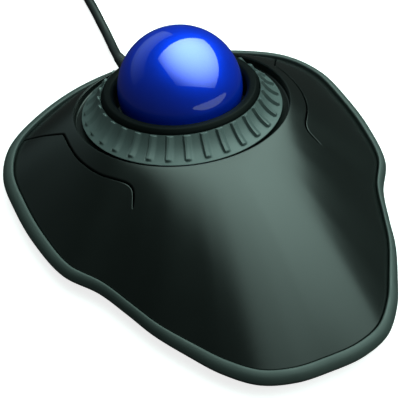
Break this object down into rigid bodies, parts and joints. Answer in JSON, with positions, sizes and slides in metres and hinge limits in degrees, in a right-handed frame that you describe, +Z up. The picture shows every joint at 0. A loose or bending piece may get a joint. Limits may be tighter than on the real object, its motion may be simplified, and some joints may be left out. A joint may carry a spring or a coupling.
{
  "type": "trackball mouse",
  "caption": "Desktop trackball mouse: a large ball inside a ribbed scroll ring, wide left and right buttons on flexing wings, a sloping palm rest and a corded plug.",
  "frame": {"origin": "on the desk, under the middle of the housing", "axes": "+Z up, +Y towards the cable end, +X to the user's right"},
  "size_m": [0.1214, 0.234, 0.0509],
  "materials": {
    "cover_black": "satin moulded, fine grain",
    "base_grey_green": "fine matt grain",
    "ring_grey_green": "fine matt grain",
    "ball_blue": "polished",
    "collar_black": "semi-gloss",
    "foot_rubber": "matt",
    "cable_black": "satin jacket",
    "moulded_rubber": "matt",
    "screw_steel": "zinc plated",
    "plug_steel": "nickel plated",
    "circuit_board": "solder mask",
    "clear_lens": "clear",
    "white_plastic": "natural",
    "label_film": "blank silver film",
    "inner_plastic": "moulded"
  },
  "bodies": {
    "base": {"base_shell": "base_grey_green", "top_cover": "cover_black", "retaining_collar": "collar_black", "ball_cup": "inner_plastic", "support_ball_1": "white_plastic", "support_ball_2": "white_plastic", "support_ball_3": "white_plastic", "sensor_lens": "clear_lens", "sensor_chip": "inner_plastic", "sensor_board": "circuit_board", "sensor_led": "clear_lens", "sensor_screw_1": "screw_steel", "sensor_screw_2": "screw_steel", "main_board": "circuit_board", "controller_chip": "inner_plastic", "capacitor": "inner_plastic", "cable_connector": "white_plastic", "ring_interrupter": "inner_plastic", "left_switch": "inner_plastic", "right_switch": "inner_plastic", "cover_screw_1": "screw_steel", "cover_screw_2": "screw_steel", "cover_screw_3": "screw_steel", "cover_screw_4": "screw_steel", "cup_screw_1": "screw_steel", "cup_screw_2": "screw_steel", "cup_screw_3": "screw_steel", "cup_screw_4": "screw_steel", "board_screw_1": "screw_steel", "board_screw_2": "screw_steel", "board_screw_3": "screw_steel", "board_screw_4": "screw_steel", "foot_rear_left": "foot_rubber", "foot_rear_right": "foot_rubber", "foot_front_left": "foot_rubber", "foot_front_right": "foot_rubber", "rating_label": "label_film", "cable": "cable_black", "cable_tail": "cable_black", "inner_cable": "cable_black", "cable_strain_relief": "moulded_rubber", "cable_coil": "cable_black", "coil_tie": "inner_plastic", "usb_overmold": "moulded_rubber", "usb_shell": "plug_steel", "usb_tongue": "white_plastic"},
    "left_button": {"left_button": "cover_black"},
    "right_button": {"right_button": "cover_black"},
    "left_plunger": {"left_switch_plunger": "white_plastic"},
    "right_plunger": {"right_switch_plunger": "white_plastic"},
    "ball": {"ball": "ball_blue"},
    "scroll_ring": {"scroll_ring": "ring_grey_green", "encoder_wheel": "inner_plastic"}
  },
  "joints": [
    {"name": "left_button_press", "type": "hinge", "parent": "base", "child": "left_button", "pos_m": [-0.0463, -0.0075, 0.018], "axis": [-0.9326, -0.3608, 0], "range_deg": [0, 1], "stiffness_Nm_per_rad": 1.3},
    {"name": "right_button_press", "type": "hinge", "parent": "base", "child": "right_button", "pos_m": [0.0463, -0.0075, 0.018], "axis": [-0.9326, 0.3608, 0], "range_deg": [0, 1], "stiffness_Nm_per_rad": 1.3},
    {"name": "left_plunger_travel", "type": "slide", "parent": "base", "child": "left_plunger", "axis": [0, 0, -1], "range_m": [0, 0.0005]},
    {"name": "right_plunger_travel", "type": "slide", "parent": "base", "child": "right_plunger", "axis": [0, 0, -1], "range_m": [0, 0.0005]},
    {"name": "ball_roll", "type": "hinge", "parent": "base", "child": "ball", "pos_m": [0, 0.0325, 0.0311], "axis": [1, 0, 0], "continuous": true},
    {"name": "scroll_ring_turn", "type": "hinge", "parent": "base", "child": "scroll_ring", "pos_m": [0, 0.0325, 0.0311], "axis": [0, 0.2334, 0.9724], "continuous": true}
  ],
  "couplings": [
    {"joint": "left_plunger_travel", "follows": "left_button_press", "m_per_rad": 0.0256},
    {"joint": "right_plunger_travel", "follows": "right_button_press", "m_per_rad": 0.0256}
  ]
}
